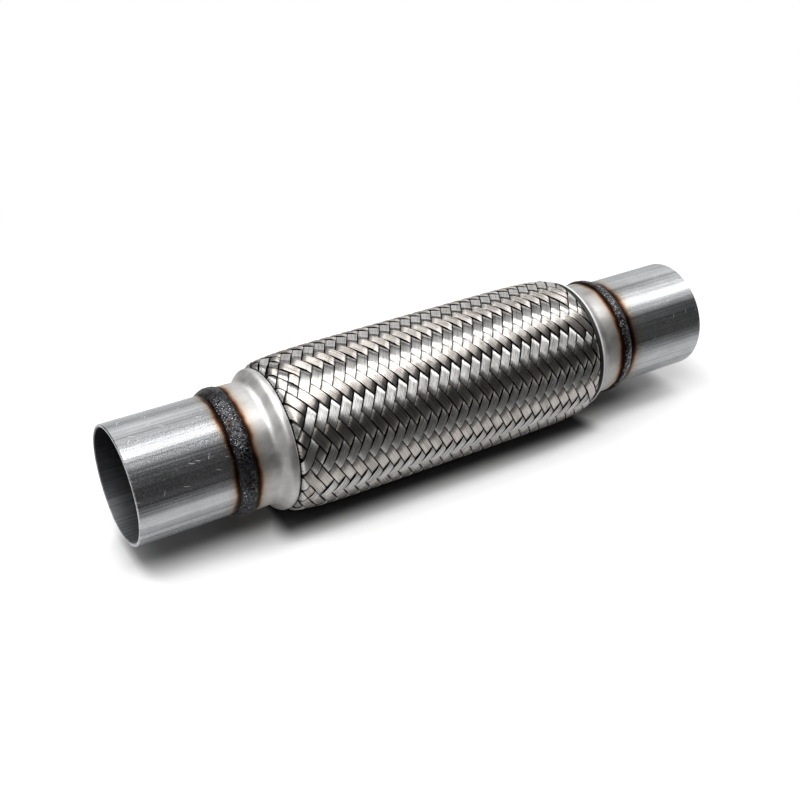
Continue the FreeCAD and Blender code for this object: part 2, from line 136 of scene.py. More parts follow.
class NodeTree:
    """A shader's node tree, built node by node."""

    def __init__(self, tree: bpy.types.NodeTree) -> None:
        """Takes the tree to build in."""
        self.tree = tree

    def put(self, socket: Socket, content: object) -> None:
        """Links an output to a socket, or sets the socket's value.

        Args:
            socket: The input socket.
            content: An output socket, or a plain value.
        """
        if isinstance(content, Socket):
            self.tree.links.new(content, socket)
        else:
            socket.default_value = content

    def node(self, kind: str, inputs: dict[str | int, object], **settings: object) -> bpy.types.Node:
        """Adds a node.

        Args:
            kind: Blender's name of the node's type, without its ShaderNode prefix.
            inputs: Contents of its inputs, by the sockets' names or numbers.
            **settings: Its own properties.

        Returns:
            The node.
        """
        made = self.tree.nodes.new("ShaderNode" + kind)
        for name, setting in settings.items():
            setattr(made, name, setting)
        for name, content in inputs.items():
            self.put(made.inputs[name], content)
        return made

    def calculate(self, operation: str, *terms: object) -> Socket:
        """The result of a Math node's operation on its terms."""
        return self.node("Math", dict(enumerate(terms)), operation=operation).outputs[0]

    def total(self, value: object, *others: tuple[object, float]) -> Socket:
        """A value with shares of others added to it.

        Args:
            value: The value.
            *others: Each other value, with the share of it that is added.

        Returns:
            The sum's socket.
        """
        for other, share in others:
            value = self.calculate("ADD", value, self.calculate("MULTIPLY", other, share))
        return value

    def spread(self, value: object, span: Span, results: Span = (0.0, 1.0)) -> Socket:
        """A value carried smoothly from one range to another, and held at its ends.

        Args:
            value: The value.
            span: The range that it is read in.
            results: What it becomes where that range starts, and where it ends.

        Returns:
            The result's socket.
        """
        inputs = dict(enumerate((value, *span, *results)))
        return self.node("MapRange", inputs, interpolation_type="SMOOTHSTEP").outputs[0]

    def blend(self, share: object, first: object, second: object, way: str = "MIX") -> Socket:
        """Two colours mixed.

        Args:
            share: How much of the second colour shows.
            first: The first colour.
            second: The second colour.
            way: The mix's blend type.

        Returns:
            The mixed colour's socket.
        """
        made = self.node("Mix", {0: share}, data_type="RGBA", blend_type=way)
        for socket, colour in zip([item for item in made.inputs if item.type == "RGBA"], (first, second)):
            self.put(socket, colour)
        return next(item for item in made.outputs if item.type == "RGBA")

    def shaded(self, colour: object, shade: object) -> Socket:
        """A colour times a brightness.

        Args:
            colour: The colour.
            shade: The brightness, 1 for the colour as it is.

        Returns:
            The shaded colour's socket.
        """
        grey = self.node("CombineColor", {"Red": shade, "Green": shade, "Blue": shade})
        return self.blend(1.0, colour, grey.outputs[0], "MULTIPLY")

    def ramp(self, place: object, stops: dict[float, Place]) -> Socket:
        """A colour read from a row of stops.

        Args:
            place: The place along the row, from 0 to 1.
            stops: The colours by their places.

        Returns:
            The colour's socket.
        """
        made = self.node("ValToRGB", {"Fac": place})
        row = made.color_ramp.elements
        while len(row) < len(stops):
            row.new(0.5)
        for stop, (where, colour) in zip(row, sorted(stops.items())):
            stop.position = where
            stop.color = (*colour, 1.0)
        return made.outputs["Color"]

    def split(self, place: object) -> list[Socket]:
        """A place's X, Y and Z."""
        return list(self.node("SeparateXYZ", {"Vector": place}).outputs)

    def length(self, place: object) -> Socket:
        """How far a place is from the origin."""
        return self.node("VectorMath", {0: place}, operation="LENGTH").outputs["Value"]

    def stretched(self, place: object, scale: Place) -> Socket:
        """A place scaled by an own factor along each axis."""
        return self.node("Mapping", {"Vector": place, "Scale": scale}).outputs[0]

    def camera_ray(self) -> Socket:
        """1 for what the camera sees itself, else 0."""
        return self.node("LightPath", {}).outputs["Is Camera Ray"]


class Recipe(NodeTree):
    """A material's node tree, built round its Principled shader."""

    def __init__(self, name: str) -> None:
        """Starts a material.

        Args:
            name: The material's name.
        """
        self.material = bpy.data.materials.new(name)
        self.material.use_nodes = True
        super().__init__(self.material.node_tree)

    def surface(self, inputs: dict[str, object]) -> Material:
        """Fills inputs of the Principled shader.

        Args:
            inputs: Their contents by name.

        Returns:
            The finished material.
        """
        shader = self.tree.nodes["Principled BSDF"]
        for name, content in inputs.items():
            self.put(shader.inputs[name], content)
        return self.material

    def object_place(self) -> Socket:
        """The place on the piece, in metres."""
        return self.node("TexCoord", {}).outputs["Object"]

    def cloud(self, place: object, grain: Grain) -> Socket:
        """Smooth noise from 0 to 1.

        Args:
            place: Where it is read.
            grain: What it is like.

        Returns:
            The noise's socket.
        """
        if grain.stretch != (1.0, 1.0, 1.0):
            place = self.stretched(place, grain.stretch)
        inputs = {"Vector": place, "Scale": grain.scale, "Detail": grain.detail, "Roughness": grain.rough}
        return self.node("TexNoise", inputs).outputs[0]

    def cells(self, place: object, scale: float) -> Socket:
        """Distance to the nearest of scattered points, with so many points a metre."""
        return self.node("TexVoronoi", {"Vector": place, "Scale": scale}).outputs["Distance"]

    def relief(self, height: object, depth: float) -> Socket:
        """A normal bumped by a height from 0 to 1, whose depth is in metres."""
        return self.node("Bump", {"Height": height, "Distance": depth, "Strength": 1.0}).outputs[0]

    def heat_tint(self, metal: object, distance: object, reach: float) -> Socket:
        """A metal's colour beside a weld.

        Args:
            metal: The metal's own colour.
            distance: How far the place is from the weld's toe, in metres.
            reach: Where the tint has faded out, in metres.

        Returns:
            The tinted colour's socket.
        """
        wander = self.cloud(self.object_place(), TINT_WANDER)
        shift = self.spread(wander, (0.3, 0.7), TINT_SWAY)
        share = self.calculate("DIVIDE", self.calculate("ADD", distance, shift), reach)
        return self.blend(1.0, metal, self.ramp(share, HEAT_TINTS), "MULTIPLY")


@dataclass(frozen=True)
class StubSteel:
    """Drawn steel tube: lengthwise lines, a fine mottle, small scratches and a dull bore with shade painted
    towards its top.
    """

    name: str = "inlet_stub_finish"
    colour: Colour = (0.58, 0.59, 0.605, 1.0)
    bore_colour: Colour = (0.46, 0.47, 0.49, 1.0)
    bore_top_shade: Colour = (0.12, 0.12, 0.13, 1.0)
    scratch_colour: Colour = (0.92, 0.92, 0.92, 1.0)
    line_colour: Colour = (0.22, 0.22, 0.23, 1.0)
    roughness: float = 0.24
    anisotropy: float = 0.6
    outside: float = 27 * MM
    bore_edge: float = 26 * MM
    bore_shade_span: Span = (-22 * MM, 8 * MM)
    weld_toe: float = 107.8 * MM
    tint_reach: float = 6 * MM
    scratch_cell: Span = (21 * MM, 1.8 * MM)
    scratch_edge: Span = (0.05, 0.08)
    scratch_turns: Place = (0.5, -0.35, 1.15)
    depth: float = 0.32 * MM
    drawn: Grain = Grain(1100.0, 3.0, 0.6, (0.008, 1.0, 1.0))
    bands: Grain = Grain(170.0, stretch=(0.02, 1.0, 1.0))
    lines: Grain = Grain(420.0, rough=0.7, stretch=(0.006, 1.0, 1.0))
    long_lines: Grain = Grain(260.0, 1.0, stretch=(0.004, 1.0, 1.0))
    line_places: Grain = Grain(45.0, 1.0, stretch=(0.02, 1.0, 1.0))
    mottle: Grain = Grain(2100.0, rough=0.6)
    smudge: Grain = Grain(120.0, 3.0, 0.6, (0.5, 1.0, 1.0))

    def scratches(self, recipe: Recipe, place: Socket) -> Socket:
        """Short thin scratches on the tube's outside, each of several sets running its own way.

        Args:
            recipe: The recipe that they belong to.
            place: The place on the tube.

        Returns:
            A mask's socket, 1 in a scratch.
        """
        x, y, z = recipe.split(place)
        way_round = recipe.calculate("MULTIPLY", recipe.calculate("ARCTAN2", y, z), self.outside)
        flat = recipe.node("CombineXYZ", {"X": x, "Y": way_round}).outputs[0]
        mask = 0.0
        for turn in self.scratch_turns:
            inputs = {"Vector": flat, "Rotation": (0.0, 0.0, turn), "Scale": (*self.scratch_cell, 1.0)}
            laid = recipe.node("Mapping", inputs, vector_type="TEXTURE").outputs[0]
            marks = recipe.spread(recipe.cells(laid, 1.0), self.scratch_edge, (1.0, 0.0))
            mask = recipe.calculate("MAXIMUM", mask, marks)
        return mask

    def bore(self, recipe: Recipe, up: Socket, tone: Socket) -> Socket:
        """The bore's colour, with shade painted darker towards its top.

        Args:
            recipe: The recipe that it belongs to.
            up: The height of the place on the tube.
            tone: The steel's uneven tone.

        Returns:
            The colour's socket.
        """
        # Painted shade: the bore's colour darkens towards its top.
        colour = recipe.blend(recipe.spread(up, self.bore_shade_span), self.bore_colour, self.bore_top_shade)
        return recipe.shaded(colour, recipe.spread(tone, (0.70, 1.15), (0.7, 1.15)))

    def make(self) -> Material:
        """Makes the finish.

        Returns:
            The material.
        """
        recipe = Recipe(self.name)
        place = recipe.object_place()
        along, _, up = recipe.split(place)
        drawn = recipe.cloud(place, self.drawn)
        lines = recipe.cloud(place, self.lines)
        mottle = recipe.cloud(place, self.mottle)
        tone = recipe.total(drawn, (mottle, 0.35), (recipe.cloud(place, self.smudge), 0.5))
        metal = recipe.shaded(self.colour, recipe.spread(tone, (0.70, 1.15), (0.76, 1.08)))
        metal = recipe.blend(recipe.spread(lines, (0.56, 0.64), (0.0, 0.5)), metal, self.line_colour)

        long_lines = recipe.spread(recipe.cloud(place, self.long_lines), (0.55, 0.59), (0.0, 0.75))
        line_places = recipe.spread(recipe.cloud(place, self.line_places), (0.47, 0.56))
        metal = recipe.blend(recipe.calculate("MULTIPLY", long_lines, line_places), metal, self.line_colour)

        wear_and_painted_highlight = self.scratches(recipe, place)
        metal = recipe.blend(recipe.calculate("MULTIPLY", wear_and_painted_highlight, 0.6), metal, self.scratch_colour)
        distance = recipe.calculate("SUBTRACT", recipe.calculate("ABSOLUTE", along), self.weld_toe)
        metal = recipe.heat_tint(metal, distance, self.tint_reach)

        radius = recipe.length(recipe.stretched(place, (0.0, 1.0, 1.0)))
        inside = recipe.calculate("LESS_THAN", radius, self.bore_edge)
        dull = recipe.spread(mottle, (0.3, 0.7), (self.roughness - 0.03, self.roughness + 0.05))
        wavy = recipe.cloud(place, self.bands)
        wavy = recipe.total(wavy, (drawn, 0.02), (lines, 0.07), (mottle, 0.003))
        return recipe.surface(
            {
                "Base Color": recipe.blend(inside, metal, self.bore(recipe, up, tone)),
                "Metallic": 1.0,
                "Roughness": recipe.total(dull, (inside, 0.12), (wear_and_painted_highlight, 0.3)),
                "Anisotropic": self.anisotropy,
                "Tangent": recipe.node("Tangent", {}, direction_type="RADIAL", axis="X").outputs[0],
                "Normal": recipe.relief(wavy, self.depth),
            }
        )


@dataclass(frozen=True)
class CollarSteel:
    """Pressed stainless sheet, blasted to a soft satin, with straw heat tint by the weld, a highlight
    painted along the lip's edge, and painted shade where the braid tucks in.
    """

    name: str = "inlet_collar_finish"
    colour: Colour = (0.69, 0.68, 0.67, 1.0)
    painted_lip_highlight: Colour = (0.88, 0.88, 0.88, 1.0)
    lip_shadow_colour: Colour = (0.01, 0.01, 0.01, 1.0)
    roughness: float = 0.5
    lip_edge: float = 82 * MM
    edge_width: float = 0.6 * MM
    shaded_to: float = 0.0
    shade_fade: float = 0.3 * MM
    weld_toe: float = 100.6 * MM
    tint_reach: float = 7 * MM
    depth: float = 0.18 * MM
    smudge: Grain = Grain(95.0, 4.0, 0.6, (0.6, 1.0, 1.0))
    sand: Grain = Grain(3600.0)

    def make(self) -> Material:
        """Makes the finish.

        Returns:
            The material.
        """
        recipe = Recipe(self.name)
        place = recipe.object_place()
        along = recipe.calculate("ABSOLUTE", recipe.split(place)[0])
        smudge = recipe.cloud(place, self.smudge)
        metal = recipe.shaded(self.colour, recipe.spread(smudge, (0.32, 0.68), (0.78, 1.08)))
        distance = recipe.calculate("SUBTRACT", self.weld_toe, along)
        metal = recipe.heat_tint(metal, distance, self.tint_reach)
        # Painted highlight: a bright, non-metallic line along the lip's edge.
        from_lip = recipe.calculate("SUBTRACT", along, self.lip_edge)
        wear_and_painted_highlight = recipe.spread(from_lip, (self.edge_width * 0.7, self.edge_width), (0.85, 0.0))
        metal = recipe.blend(wear_and_painted_highlight, metal, self.painted_lip_highlight)
        # Painted shadow: the lip's band is darkened up to shaded_to, where the braid tucks under it.
        past = recipe.calculate("SUBTRACT", along, self.shaded_to)
        painted_lip_shadow = recipe.spread(past, (-self.shade_fade, self.shade_fade), (1.0, 0.0))
        dull = (self.roughness - 0.03, self.roughness + 0.06)
        height = recipe.total(smudge, (recipe.cloud(place, self.sand), 0.06))
        return recipe.surface(
            {
                "Base Color": recipe.blend(painted_lip_shadow, metal, self.lip_shadow_colour),
                "Metallic": recipe.calculate("SUBTRACT", 1.0, wear_and_painted_highlight),
                "Roughness": recipe.spread(smudge, (0.3, 0.7), dull),
                "Normal": recipe.relief(height, self.depth),
            }
        )


@dataclass(frozen=True)
class WeldMetal:
    """Dark weld bead: graphite scale with painted glints, black pits with painted shade in them, rusty
    spots, and dark toes that are part burnt line, part painted shade.
    """

    name: str = "inlet_weld_finish"
    colour: Colour = (0.030, 0.031, 0.034, 1.0)
    pale: Colour = (0.085, 0.088, 0.095, 1.0)
    painted_glint: Colour = (0.85, 0.85, 0.85, 1.0)
    pit_shade: Colour = (0.012, 0.010, 0.010, 1.0)
    rust: Colour = (0.035, 0.016, 0.010, 1.0)
    toe_burn_and_shade: Colour = (0.022, 0.012, 0.009, 1.0)
    roughness: float = 0.36
    painted_glint_start: float = 0.62
    middle: float = 104.1 * MM
    toe_span: Span = (2.9 * MM, 3.8 * MM)
    toe_sway: Span = (-0.5 * MM, 0.5 * MM)
    depth: float = 0.22 * MM
    pits: float = 780.0
    pit_places: Grain = Grain(190.0)
    rust_places: Grain = Grain(260.0, 3.0)
    scale: Grain = Grain(420.0, 4.0, 0.65)
    fine: Grain = Grain(1800.0, 3.0, 0.6)

    def make(self) -> Material:
        """Makes the finish.

        Returns:
            The material.
        """
        recipe = Recipe(self.name)
        place = recipe.object_place()
        scale = recipe.cloud(place, self.scale)
        fine = recipe.cloud(place, self.fine)
        metal = recipe.blend(recipe.spread(scale, (0.35, 0.7)), self.colour, self.pale)
        # Painted highlights: bright specks standing in for glints on the bead.
        painted_glints = recipe.spread(fine, (self.painted_glint_start, self.painted_glint_start + 0.06), (0.0, 0.9))
        metal = recipe.blend(painted_glints, metal, self.painted_glint)
        rusty = recipe.spread(recipe.cloud(place, self.rust_places), (0.60, 0.68), (0.0, 0.9))
        metal = recipe.blend(rusty, metal, self.rust)

        along = recipe.calculate("ABSOLUTE", recipe.split(place)[0])
        aside = recipe.calculate("ABSOLUTE", recipe.calculate("SUBTRACT", along, self.middle))
        # Dark toes: partly a burnt line, partly painted shade that makes the bead read rounder.
        ragged = recipe.spread(scale, (0.3, 0.7), self.toe_sway)
        toe_darkening = recipe.spread(recipe.calculate("ADD", aside, ragged), self.toe_span)
        metal = recipe.blend(toe_darkening, metal, self.toe_burn_and_shade)
        # Painted shade: the pits are bumped in and painted near-black, as the shade inside them.
        pit_size = recipe.spread(recipe.cloud(place, self.pit_places), (0.40, 0.62), (0.12, 0.40))
        holes = recipe.calculate("LESS_THAN", recipe.cells(place, self.pits), pit_size)
        dull = (self.roughness + 0.12, self.roughness - 0.1)
        return recipe.surface(
            {
                "Base Color": recipe.blend(holes, metal, self.pit_shade),
                "Metallic": 1.0,
                "Roughness": recipe.spread(fine, (0.3, 0.7), dull),
                "Normal": recipe.relief(recipe.total(fine, (holes, -0.8)), self.depth),
            }
        )


@dataclass(frozen=True)
class BraidWire:
    """Bright stainless wires laid side by side, with shade painted in the grooves where they touch, along
    the ribbons' edges and where they dip under a crossing or a lip.
    """

    name: str = "rising_wire"
    colour: Colour = (0.40, 0.365, 0.335, 1.0)
    pale: Colour = (0.88, 0.825, 0.77, 1.0)
    line_colour: Colour = (0.10, 0.09, 0.085, 1.0)
    shadow: Colour = (0.006, 0.006, 0.006, 1.0)
    roughness: float = 0.29
    anisotropy: float = 1.0
    edge_start: float = 0.894
    edge_end: float = 0.975
    streak: Grain = Grain(1.7, 3.0, 0.65, (0.05, 1.0, 1.0))
    long_tone: Grain = Grain(1.0, 1.0, stretch=(0.02, 0.14, 1.0))

    def make(self, wires: int) -> Material:
        """Makes the finish.

        Args:
            wires: How many wires lie side by side in a ribbon.

        Returns:
            The material.
        """
        recipe = Recipe(self.name)
        lay = recipe.node("UVMap", {}, uv_map=LAY_MAP).outputs[0]
        across = recipe.split(lay)[1]
        streak = recipe.cloud(lay, self.streak)
        tone = recipe.total(streak, (recipe.cloud(lay, self.long_tone), 0.7))
        metal = recipe.blend(recipe.spread(tone, (0.55, 1.1)), self.colour, self.pale)
        # Painted shade: dark lines in the grooves between the wires.
        in_wire = recipe.calculate("SUBTRACT", recipe.calculate("FRACT", across), 0.5)
        line = recipe.spread(recipe.calculate("ABSOLUTE", in_wire), (0.30, 0.5), (0.0, 0.75))
        metal = recipe.blend(line, metal, self.line_colour)

        # A ribbon's V runs over its wires and one more, so that no two ribbons share a value.
        middle = wires / (wires + 1) / 2
        share = recipe.calculate("FRACT", recipe.calculate("DIVIDE", across, float(wires + 1)))
        aside = recipe.calculate("ABSOLUTE", recipe.calculate("SUBTRACT", share, middle))
        # Painted shade: the ribbons' edges, and where they dip under a crossing or tuck under a lip, are
        # darkened to the shadow colour.
        edge_shade = recipe.spread(aside, (middle * self.edge_start, middle * self.edge_end))
        depth = recipe.node("Attribute", {}, attribute_name=DIP_NAME).outputs["Fac"]
        dip = recipe.spread(depth, (0.30, 0.52), (0.0, 0.94))
        painted_shade = recipe.calculate("MAXIMUM", edge_shade, dip)
        dull = (self.roughness - 0.02, self.roughness + 0.03)
        tangent = recipe.node("Tangent", {}, direction_type="UV_MAP", uv_map=LAY_MAP)
        return recipe.surface(
            {
                "Base Color": recipe.blend(painted_shade, metal, self.shadow),
                "Metallic": 1.0,
                "Roughness": recipe.spread(streak, (0.35, 0.65), dull),
                "Anisotropic": self.anisotropy,
                "Anisotropic Rotation": 0.25,
                "Tangent": tangent.outputs[0],
            }
        )


@dataclass(frozen=True)
class PlainSteel:
    """Mill-finished steel of the pieces inside: an even tone, a faint mottle."""

    name: str
    colour: Colour
    roughness: float
    depth: float = 0.02 * MM
    mottle: Grain = Grain(700.0, 3.0, 0.6)

    def make(self) -> Material:
        """Makes the finish.

        Returns:
            The material.
        """
        recipe = Recipe(self.name)
        mottle = recipe.cloud(recipe.object_place(), self.mottle)
        dull = (self.roughness - 0.05, self.roughness + 0.08)
        return recipe.surface(
            {
                "Base Color": recipe.shaded(self.colour, recipe.spread(mottle, (0.3, 0.7), (0.82, 1.1))),
                "Metallic": 1.0,
                "Roughness": recipe.spread(mottle, (0.3, 0.7), dull),
                "Normal": recipe.relief(mottle, self.depth),
            }
        )


def deselect() -> None:
    """Deselects every object, so that an operator acts only on what is added next."""
    bpy.ops.object.select_all(action="DESELECT")


def vertex_places(piece: Piece) -> np.ndarray:
    """The places of a mesh's vertices.

    Args:
        piece: A mesh object.

    Returns:
        One row of three numbers a vertex.
    """
    places = np.empty(len(piece.data.vertices) * 3)
    piece.data.vertices.foreach_get("co", places)
    return places.reshape(-1, 3)


def move_vertices(piece: Piece, places: np.ndarray) -> None:
    """Moves a mesh's vertices to new places, a row each."""
    piece.data.vertices.foreach_set("co", places.ravel())
    piece.data.update()


def turned_shell(outline: list[Span], steps: int) -> Piece:
    """A closed outline turned about the pipe's axis.

    Args:
        outline: The outline's corners, each a place along the pipe and a radius.
        steps: How many steps the turn has.

    Returns:
        The turned mesh.
    """
    deselect()
    bpy.ops.mesh.primitive_circle_add(vertices=len(outline))
    piece = bpy.context.object
    move_vertices(piece, np.array([(along, 0.0, radius) for along, radius in outline]))
    bpy.ops.object.mode_set(mode="EDIT")
    bpy.ops.mesh.select_all(action="SELECT")
    bpy.ops.mesh.spin(steps=steps, angle=FULL_TURN, center=(0, 0, 0), axis=(1, 0, 0))
    bpy.ops.mesh.select_all(action="SELECT")
    bpy.ops.mesh.remove_doubles(threshold=0.001 * MM)
    bpy.ops.mesh.normals_make_consistent(inside=False)
    bpy.ops.object.mode_set(mode="OBJECT")
    return piece


def finish_piece(piece: Piece, name: str, material: Material, replaced: str) -> None:
    """Names a piece, gives it its finish and lets it take a CAD node's place.

    Args:
        piece: A mesh object.
        name: The piece's name.
        material: Its finish.
        replaced: The CAD node that it replaces.
    """
    piece.name = name
    piece.data.name = name
    piece.data.materials.clear()
    piece.data.materials.append(material)
    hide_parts(replaced)
    LOG.info("%s: %d triangles", name, sum(len(face.vertices) - 2 for face in piece.data.polygons))


def smooth(degrees: float) -> None:
    """Smooths the last piece's shading over edges that bend by less than an angle."""
    bpy.ops.object.shade_smooth_by_angle(angle=math.radians(degrees))


def follow_joint(piece: Piece) -> None:
    """Bakes a finished piece's transform into its mesh."""
    End.INLET.body()
    End.OUTLET.body()
    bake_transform(piece)


def dress(node: str, material: Material) -> None:
    """Gives a CAD node its finish.

    Args:
        node: The node's name.
        material: Its finish.
    """
    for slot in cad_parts[node].material_slots:
        slot.material = material
    LOG.info("%s dressed", node)


@dataclass
class Braid:
    """The braid: flat ribbons of wire, half of them wound each way, two over and two under."""

    columns: int = 48
    steps: int = 58
    half_pitch: float = 2.8 * MM
    ribbon_width: float = 4.45 * MM
    ribbon_depth: float = 0.9 * MM
    wave: float = 0.62 * MM
    wires: int = 7
    wire_relief: float = 0.12 * MM
    edge_drop: float = 0.06 * MM
    turn_share: float = 0.95
    cuts_a_step: int = 4
    run_in: float = 1.25
    shoulder_stand: float = 1.5 * MM
    shoulder_power: float = 7.0
    tuck_gap: float = 1.8 * MM
    tuck_power: float = 90.0
    loose_reach: float = 13 * MM
    loose_shift: float = 0.7 * MM
    even_shift: float = 0.14 * MM
    slip_length: float = 11 * MM
    slip_lumps: float = 5.0
    slip_layer: float = 7.0
    layer_gap: float = 9.0
    lip_widening: float = -0.22 * MM
    lip_flattening: float = 0.5
    inlet_shade: float = 0.9 * MM
    outlet_shade: float = 2.4 * MM
    flip_steps: int = 4
    flip_chance: float = 0.5
    seed: int = 11
    # Painted light: both ways are the same wire, the rising one painted darker and warmer than the falling
    # one, as the light falls differently on each.
    rising_wire: BraidWire = BraidWire()
    falling_wire: BraidWire = BraidWire("falling_wire", (0.46, 0.45, 0.43, 1.0), (0.91, 0.90, 0.88, 1.0))

    def __post_init__(self) -> None:
        """Reads the collars' lips and the braid's reach from the frame, and sizes the lattice."""
        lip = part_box(End.OUTLET.node("collar"))
        self.lip_edge = lip[0].x
        self.lip_radius = lip[1].z
        self.radius = -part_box("outer_braid")[0].z
        self.column_angle = FULL_TURN / self.columns
        self.column_width = self.radius * self.column_angle
        self.step_length = math.hypot(self.half_pitch, self.column_width)
        self.top_lanes = 2 * self.wires + 1
        self.flips = np.random.default_rng(self.seed).random((self.columns, self.steps))

    def crown(self, along: np.ndarray) -> np.ndarray:
        """The radius over the ribbons' crowns.

        Args:
            along: Places along the pipe.

        Returns:
            The radius at each place.
        """
        share = np.minimum(np.abs(along) / self.lip_edge, 1.0)
        shoulder = self.lip_radius + self.shoulder_stand
        drop = (self.radius - shoulder) * share**self.shoulder_power
        tuck = (self.shoulder_stand + self.tuck_gap) * share**self.tuck_power
        return self.radius - drop - tuck

    def rising_is_over(self, column: int, step: int) -> bool:
        """Which way's ribbon is on top at a crossing.

        Floats of two crossings make the rows of chevrons. By the lips some crossings are
        changed over, as in the loosened weave there.

        Args:
            column: The crossing's column round the pipe.
            step: Its step along the pipe.

        Returns:
            Whether the rising ribbon is on top.
        """
        column %= self.columns
        over = column % 4 < 2
        by_lip = min(step, self.steps - step) < self.flip_steps
        if by_lip and column % 4 in (1, 2) and self.flips[column, step % self.steps] < self.flip_chance:
            return not over
        return over

    def looseness(self, along: np.ndarray) -> np.ndarray:
        """How loose the weave is, from 0 in the middle to 1 at a lip.

        Args:
            along: Places along the pipe.

        Returns:
            The share at each place.
        """
        share = (np.abs(along) - (self.lip_edge - self.loose_reach)) / self.loose_reach
        share = np.clip(share, 0.0, 1.0)
        return share * share * (3 - 2 * share)

    def slip(self, along: np.ndarray, angle: np.ndarray, lean: Lean) -> np.ndarray:
        """How far a ribbon has slipped sideways, as smooth noise on the sleeve.

        Args:
            along: Places along the pipe.
            angle: Their angles round it.
            lean: Which way the ribbon winds.

        Returns:
            The slip at each place, in metres.
        """
        shift = np.empty_like(along)
        layer = self.slip_layer + self.layer_gap * lean.value
        for index, (x, turn) in enumerate(zip(along, angle)):
            across, up = math.cos(turn) * self.slip_lumps, math.sin(turn) * self.slip_lumps
            shift[index] = noise.noise(Vector((x / self.slip_length, across, up + layer)))
        return shift * (self.even_shift + self.loose_shift * self.looseness(along))

    def section(self, lane: np.ndarray) -> tuple[np.ndarray, np.ndarray]:
        """The ribbon's section.

        Across the top run the wires, each a ridge between two grooves; the last three lanes are
        the flat underside.

        Args:
            lane: Each vertex's lane across the ribbon.

        Returns:
            Each vertex's place across it, from -1 to 1, and its rise over the grooves.
        """
        top = self.top_lanes
        side = np.where(lane < top, lane / (top - 1) * 2 - 1, np.where(lane == top, 1.0, -1.0))
        ridge = np.where((lane < top) & (lane % 2 == 1), self.wire_relief, 0.0)
        sink = np.where((lane == top) | (lane == top + 1), self.ribbon_depth, 0.0)
        return side, ridge - self.edge_drop * side**4 - sink

    def ribbon(self, lean: Lean, number: int) -> Piece:
        """One ribbon, from lip to lip, as a flat bundle of wires.

        Args:
            lean: Which way it winds.
            number: Its number round the braid, an odd one.

        Returns:
            The ribbon's mesh.
        """
        way = lean.value
        cuts = round((self.steps + 2 * self.run_in) * self.cuts_a_step)
        around = self.top_lanes + 3
        deselect()
        bpy.ops.mesh.primitive_grid_add(x_subdivisions=cuts, y_subdivisions=around - 1, size=2)
        piece = bpy.context.object
        flat = vertex_places(piece)
        row = np.rint((flat[:, 0] + 1) / 2 * cuts).astype(int)
        lane = np.rint((flat[:, 1] + 1) / 2 * (around - 1)).astype(int)

        step = -self.run_in + np.arange(cuts + 1) / self.cuts_a_step
        along = (step - self.steps / 2) * self.half_pitch
        angle = (way * (step - number) + 0.5) * self.column_angle
        crown = self.crown(along)
        loose = self.looseness(along)
        width = self.ribbon_width * crown / self.radius + self.lip_widening * loose
        side, rise = self.section(lane)
        offset = side * width[row] / 2 + self.slip(along, angle, lean)[row]
        move_x = offset * self.column_width / self.step_length
        move_turn = -way * offset * self.half_pitch / self.step_length
        skew = (move_x / self.half_pitch + way * move_turn / self.column_width) / 2
        height = self.heights(lean, number, step[row] + skew)

        x = along[row] + move_x
        wave = self.wave * (1 - self.lip_flattening * loose[row])
        radius = self.crown(x) - self.wire_relief - wave + height * wave + rise
        turn = angle[row] + move_turn / crown[row]
        move_vertices(piece, np.stack([x, -radius * np.sin(turn), radius * np.cos(turn)], axis=1))
        # Painted shade: near each lip the dip attribute is raised, so the ribbons are darkened where they
        # tuck under it.
        shade = np.where(x < 0, self.inlet_shade, self.outlet_shade)
        tuck_shade = np.clip((np.abs(x) - self.lip_edge) / shade + 1, 0.0, 1.0)
        dips = piece.data.attributes.new(DIP_NAME, "FLOAT", "POINT")
        dips.data.foreach_set("value", np.maximum((1 - height) / 2, tuck_shade))
        self.mark_grooves(piece, lane)
        self.lay_uv(piece, row, lane, number)
        return piece

    def heights(self, lean: Lean, number: int, step: np.ndarray) -> np.ndarray:
        """How high a ribbon rides, from -1 under a crossing to 1 over it.

        Args:
            lean: Which way it winds.
            number: Its number round the braid.
            step: Where along it the height is wanted, in steps of the lattice.

        Returns:
            The height at each place.
        """
        way = lean.value
        marks = range(math.floor(step.min()) - 1, math.ceil(step.max()) + 2)
        over = [self.rising_is_over(way * (mark - number), mark) == (lean is Lean.RISING) for mark in marks]
        level = [1.0 if above else -1.0 for above in over]
        height = np.full(step.shape, level[0])
        for mark, before, after in zip(marks, level, level[1:]):
            if before != after:
                share = np.clip((step - mark - 0.5) / self.turn_share + 0.5, 0.0, 1.0)
                height += (after - before) * share * share * (3 - 2 * share)
        return height

    def mark_grooves(self, piece: Piece, lane: np.ndarray) -> None:
        """Makes the grooves between the wires sharp and everything else smooth.

        Args:
            piece: The ribbon's mesh.
            lane: Each vertex's lane across it.
        """
        mesh = piece.data
        ends = np.empty(len(mesh.edges) * 2, dtype=int)
        mesh.edges.foreach_get("vertices", ends)
        lanes = lane[ends.reshape(-1, 2)]
        lengthwise = lanes[:, 0] == lanes[:, 1]
        sharp = lengthwise & ((lanes[:, 0] % 2 == 0) | (lanes[:, 0] >= self.top_lanes - 1))
        mesh.polygons.foreach_set("use_smooth", [True] * len(mesh.polygons))
        mesh.edges.foreach_set("use_edge_sharp", sharp)

